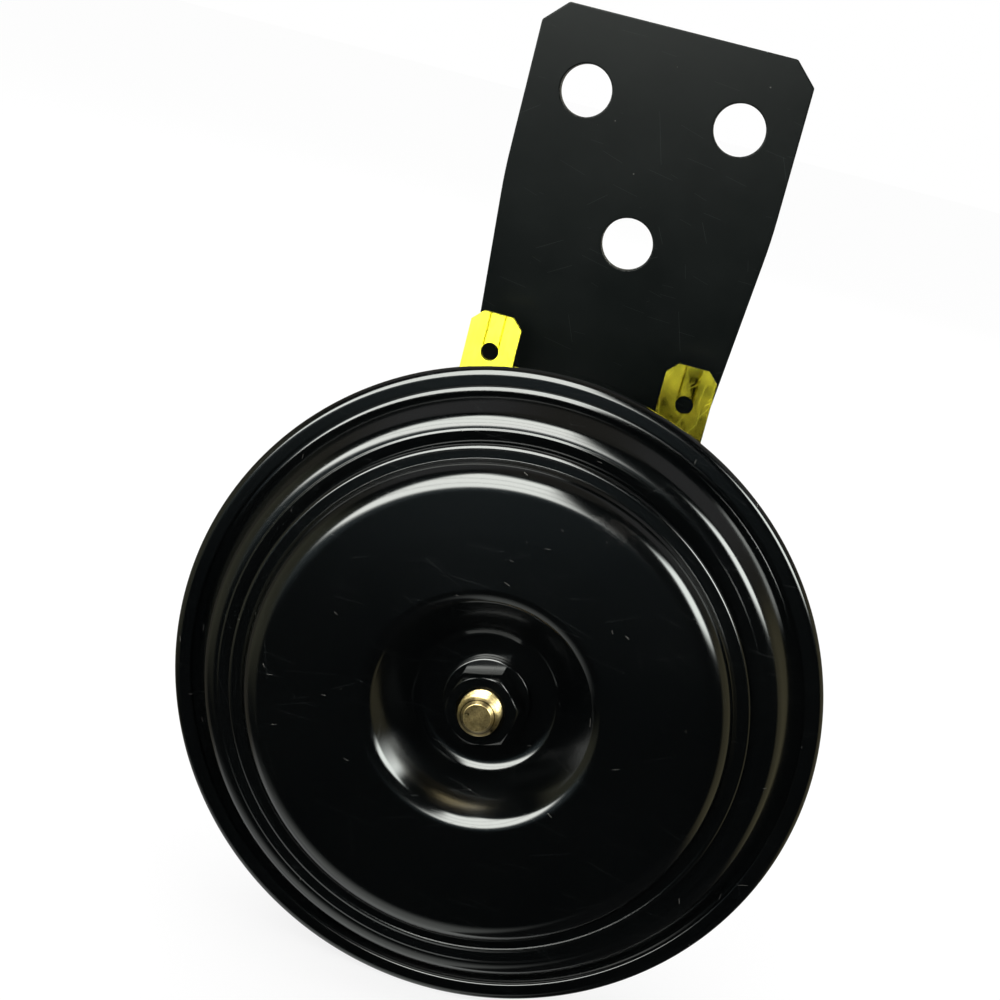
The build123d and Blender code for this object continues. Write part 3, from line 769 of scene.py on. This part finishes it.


# The two blades are the same brass: the right one's darker colour is painted shade.
terminal("terminal_left_blade", -1, brass("brass_left", (0.82, 0.76, 0.055), 0.36, 3.0))
terminal("terminal_right_blade", 1, brass("brass_right_shaded", (0.50, 0.44, 0.035), 0.13, 7.0))

rivet_brass = brass("rivet_brass", (0.80, 0.62, 0.22), 0.24, 12.0)
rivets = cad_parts["terminal_rivets"]
rivets.data.materials.clear()
rivets.data.materials.append(rivet_brass)

# ------------------------------------------------------------------ rear fastening
# The core's M6 tail passes through the toothed washer, the bracket, a plain washer and a
# split spring washer to a nut 10 mm across flats. All zinc plated.
BRACKET_BACK = BRACKET_FRONT + BRACKET_SHEET
REAR_WASHER = 1.0
SPRING_WASHER = 1.5
TAIL_RADIUS = 2.95
NUT_SEAT = BRACKET_BACK + REAR_WASHER + SPRING_WASHER
clear_zinc = zinc("clear_zinc", (0.66, 0.67, 0.68), 0.2)
rear_nut = hexagon_nut("rear_nut_plated", NUT_SEAT, height=5.0, flats=10.0, bore=3.0, turn=30)
softened(rear_nut, 0.12, 2)
settled(rear_nut)
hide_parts("rear_nut")
tail = threaded("tail_thread", TAIL_RADIUS, pitch=1.0, foot=25.2, tip=37.75, chamfer=0.7)
CORE_RADIUS, CORE_FACE, CORE_SEAT = 6.0, 18.7, BOSS_DEPTH - CASE_SHEET
core = turned(
    "core_turned",
    [
        (0, CORE_FACE, 0),
        (CORE_RADIUS, CORE_FACE, 0.2),
        (CORE_RADIUS, CORE_SEAT, 0.1),
        (TAIL_RADIUS - 0.05, CORE_SEAT, 0),
        (TAIL_RADIUS - 0.05, CORE_SEAT + 0.3, 0),
        (0, CORE_SEAT + 0.3, 0),
    ],
    steps=64,
)
for piece in (tail, core):
    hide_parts("pole_core")
rear_washer = turned(
    "rear_washer_blanked",
    [
        (TAIL_HOLE, BRACKET_BACK, 0),
        (6.0, BRACKET_BACK, 0.1),
        (6.0, BRACKET_BACK + REAR_WASHER, 0.25),
        (TAIL_HOLE, BRACKET_BACK + REAR_WASHER, 0),
    ],
    steps=96,
)
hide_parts("rear_washer")
for piece, metal in (
    (rear_nut, clear_zinc),
    (tail, yellow_zinc),
    (core, yellow_zinc),
    (rear_washer, clear_zinc),
):
    piece.data.materials.append(metal)
    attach(piece, "horn")

# ------------------------------------------------------------------ pieces kept from CAD
# Small turned and moulded pieces behind and inside the horn, whose solids are already
# their real shape: washers, adjusting screw, insulators, magnet and contact breaker.


def plain(name, low, high, dull, metal=0.0, scale=900):
    """A finish for small pieces: clouded colour and roughness over fine grain."""
    place, wire = finish_on(name)
    cloud = grain(place, scale, 4.0, 0.6)
    tint = cloud.ramp([(0.3, low), (0.7, high)])
    rough = cloud * 0.25 + dull
    return wire(Base_Color=tint, Metallic=metal, Roughness=rough, height=cloud, bump=0.15, reach=0.04 * MM)


kept = {
    "zinc_plate": (clear_zinc, ["tooth_washer", "spring_washer", "adjusting_screw", "adjuster_locknut"]),
    "bare_steel": (
        plain("bare_steel", (0.25, 0.25, 0.26), (0.45, 0.45, 0.46), 0.25, 1.0),
        ["yoke_plate", "contact_base", "contact_base_rivets", "contact_stack_rivets", "tone_disc_spacer"],
    ),
    "spring_steel": (
        plain("spring_steel", (0.40, 0.40, 0.41), (0.58, 0.58, 0.60), 0.2, 1.0),
        ["contact_leaf"],
    ),
    "contact_metal": (
        plain("tungsten", (0.30, 0.30, 0.32), (0.50, 0.50, 0.52), 0.35, 1.0),
        ["moving_contact", "fixed_contact"],
    ),
    "brass": (rivet_brass, ["fixed_contact_strip"]),
    "moulded_plastic": (
        plain("moulded_plastic", (0.02, 0.02, 0.022), (0.045, 0.045, 0.05), 0.35),
        ["coil_bobbin", "contact_pusher"],
    ),
    "laminate": (
        plain("laminate", (0.16, 0.07, 0.03), (0.32, 0.15, 0.07), 0.4),
        ["outer_insulator", "inner_insulator", "contact_insulators"],
    ),
    "gasket_paper": (
        plain("gasket_paper", (0.30, 0.24, 0.16), (0.48, 0.40, 0.28), 0.6),
        ["diaphragm_gasket"],
    ),
    "copper_wire": (
        plain("enamelled_copper", (0.32, 0.09, 0.03), (0.62, 0.22, 0.08), 0.2, 1.0, 2500),
        ["coil_winding", "coil_start_lead", "coil_end_lead", "contact_lead"],
    ),
}
for material_slot, (material, nodes) in kept.items():
    for node in nodes:
        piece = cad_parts[node]
        piece.data.materials.clear()
        piece.data.materials.append(material)

# ------------------------------------------------------------------ studio
# A white floor and sky. Mirrors see a dome: a large soft window with blinds up to the left
# in front, a small one to the right, olive walls at the sides, white below, the rest dark.
HORN_MIDDLE = (0, RIM_Y * MM, AXIS_Z * MM)


def room(tree):
    """The dome's colour by direction from the horn: azimuth from the front to the right."""
    way = Signal(tree, tree.nodes.new("ShaderNodeTexCoord").outputs["Object"])
    way = way.node("ShaderNodeVectorMath", {"operation": "NORMALIZE"}, {0: way})
    x, y, z = (way.node("ShaderNodeSeparateXYZ", {}, {0: way}, k) for k in range(3))
    azimuth = x.math("ARCTAN2", x, y * -1.0) * (180 / pi)
    elevation = z.math("ARCSINE", z) * (180 / pi)

    def step(value, edge, soft):
        span = {"From Min": edge - soft, "From Max": edge + soft}
        return value.node(
            "ShaderNodeMapRange", {"interpolation_type": "SMOOTHSTEP"}, {"Value": value, **span}
        )

    def patch(left, right, low, high, soft):
        across = step(azimuth, left, soft) * (1.0 - step(azimuth, right, soft))
        return across * step(elevation, low, soft) * (1.0 - step(elevation, high, soft))

    behind = step(azimuth.math("ABSOLUTE", azimuth), 88, 6)
    ceiling = step(elevation, 70, 7)
    floor_below = 1.0 - step(elevation, -50, 14)
    blinds = (elevation * (pi / 9)).math("SINE", elevation * (pi / 9)) > 0.93
    colour = behind.mixed((0.001, 0.0014, 0.0016, 1), (0.14, 0.13, 0.10, 1))
    for mask, shade in (
        (behind * step(elevation, 35, 12), (0.30, 0.30, 0.30, 1)),
        (floor_below, (1.0, 1.05, 1.0, 1)),
        (patch(14, 150, -95, -35, 8), (0.02, 0.02, 0.02, 1)),  # dark cloth to the lower right
        (patch(-190, -88, -70, -42, 6), (0.64, 0.66, 0.65, 1)),  # pale floor to the rear left
        (patch(-190, -140, -70, -38, 20), (0.38, 0.39, 0.39, 1)),
        (patch(152, 190, -70, -38, 8), (0.34, 0.35, 0.35, 1)),
        (ceiling, (0.19, 0.18, 0.15, 1)),
        (patch(76, 125, -32, 20, 8), (0.42, 0.38, 0.22, 1)),  # olive walls
        (patch(-98, -40, -24, 22, 9), (0.34, 0.34, 0.23, 1)),
        (patch(-50, 2, -8, 62, 9), (0.35, 0.45, 0.48, 1)),  # haze round the window
        (patch(-46, 1, 5, 60, 5) * (1.0 - blinds * 0.45), (17.5, 18.0, 17.0, 1)),
        (patch(47, 73, 18, 44, 5), (18.0, 19.0, 18.0, 1)),
    ):
        colour = mask.mixed(colour, shade)
    return colour


def looked_at(tree):
    """1 where the camera, a mirror or a clear piece looks straight at a stage surface."""
    paths = tree.nodes.new("ShaderNodeLightPath").outputs
    direct = Signal(tree, paths["Is Camera Ray"])
    for kind in ("Is Glossy Ray", "Is Transmission Ray"):
        direct = direct.math("MAXIMUM", direct, Signal(tree, paths[kind]))
    return direct


alone()
bpy.ops.mesh.primitive_uv_sphere_add(segments=48, ring_count=24, radius=1.5, location=HORN_MIDDLE)
dome = bpy.context.object
dome.name = "mirror_dome"
dome_glow = bpy.data.materials.new("dome_glow")
dome_glow.use_nodes = True
tree = dome_glow.node_tree
tree.nodes.clear()
glow = tree.nodes.new("ShaderNodeEmission")
tree.links.new(room(tree).socket, glow.inputs[0])
tree.links.new(glow.outputs[0], tree.nodes.new("ShaderNodeOutputMaterial").inputs[0])
dome_glow.cycles.emission_sampling = "NONE"
dome.data.materials.append(dome_glow)
dome.visible_camera = dome.visible_diffuse = dome.visible_shadow = False
dome.visible_transmission = dome.visible_volume_scatter = False
dome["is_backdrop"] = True

floor_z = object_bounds()[0].z
alone()
bpy.ops.mesh.primitive_plane_add(size=12, location=(0, 0, floor_z))
floor = bpy.context.object
floor.name = "floor"
floor_paint = bpy.data.materials.new("floor_paint")
floor_paint.use_nodes = True
tree = floor_paint.node_tree
floor_shader = tree.nodes["Principled BSDF"]
floor_shader.inputs["Base Color"].default_value = (0.95, 0.95, 0.95, 1)
floor_shader.inputs["Roughness"].default_value = 0.9
floor_shader.inputs["Specular IOR Level"].default_value = 0.0
mixer = tree.nodes.new("ShaderNodeMixShader")
tree.links.new((looked_at(tree) * 0.8).socket, mixer.inputs[0])
tree.links.new(floor_shader.outputs[0], mixer.inputs[1])
tree.links.new(tree.nodes.new("ShaderNodeEmission").outputs[0], mixer.inputs[2])
tree.links.new(mixer.outputs[0], tree.nodes["Material Output"].inputs[0])
floor.data.materials.append(floor_paint)
floor.visible_glossy = False
floor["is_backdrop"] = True

for name, spot, size, power in (
    ("key_light", (-0.35, -0.65, 0.45), 0.6, 2.5),
    ("fill_light", (0.6, -0.5, 0.45), 0.5, 0.8),
    ("top_light", (0, 0.1, 0.8), 0.8, 1.2),
    ("back_light", (0.2, 0.8, 0.5), 0.8, 1.2),
):
    alone()
    bpy.ops.object.light_add(type="AREA", location=spot)
    lamp = bpy.context.object
    lamp.name = name
    lamp.data.size, lamp.data.energy = size, power
    lamp.rotation_mode = "QUATERNION"
    lamp.rotation_quaternion = (Vector(HORN_MIDDLE) - Vector(spot)).to_track_quat("-Z", "Y")
    lamp.visible_glossy = False
    lamp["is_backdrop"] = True

world = bpy.data.worlds.new("studio")
bpy.context.scene.world = world
world.use_nodes = True
sky = world.node_tree
sky.nodes["Background"].inputs["Color"].default_value = (1, 1, 1, 1)
sky.links.new((looked_at(sky) * 0.05 + 0.95).socket, sky.nodes["Background"].inputs["Strength"])

# ------------------------------------------------------------------ camera
# Close to the horn, a little above and to its right, and rolled to the left.
lens = bpy.data.cameras.new("camera")
lens.lens, lens.sensor_width = 68.33, 36.0
lens.clip_start, lens.clip_end = 0.01, 20.0
camera = bpy.data.objects.new("camera", lens)
bpy.context.scene.collection.objects.link(camera)
camera.location = (0.01677, -0.23760, 0.00790)
camera.rotation_euler = (radians(76.6085), radians(-14.0842), radians(9.1506))
bpy.context.scene.camera = camera

bpy.context.scene.view_settings.view_transform = "Standard"
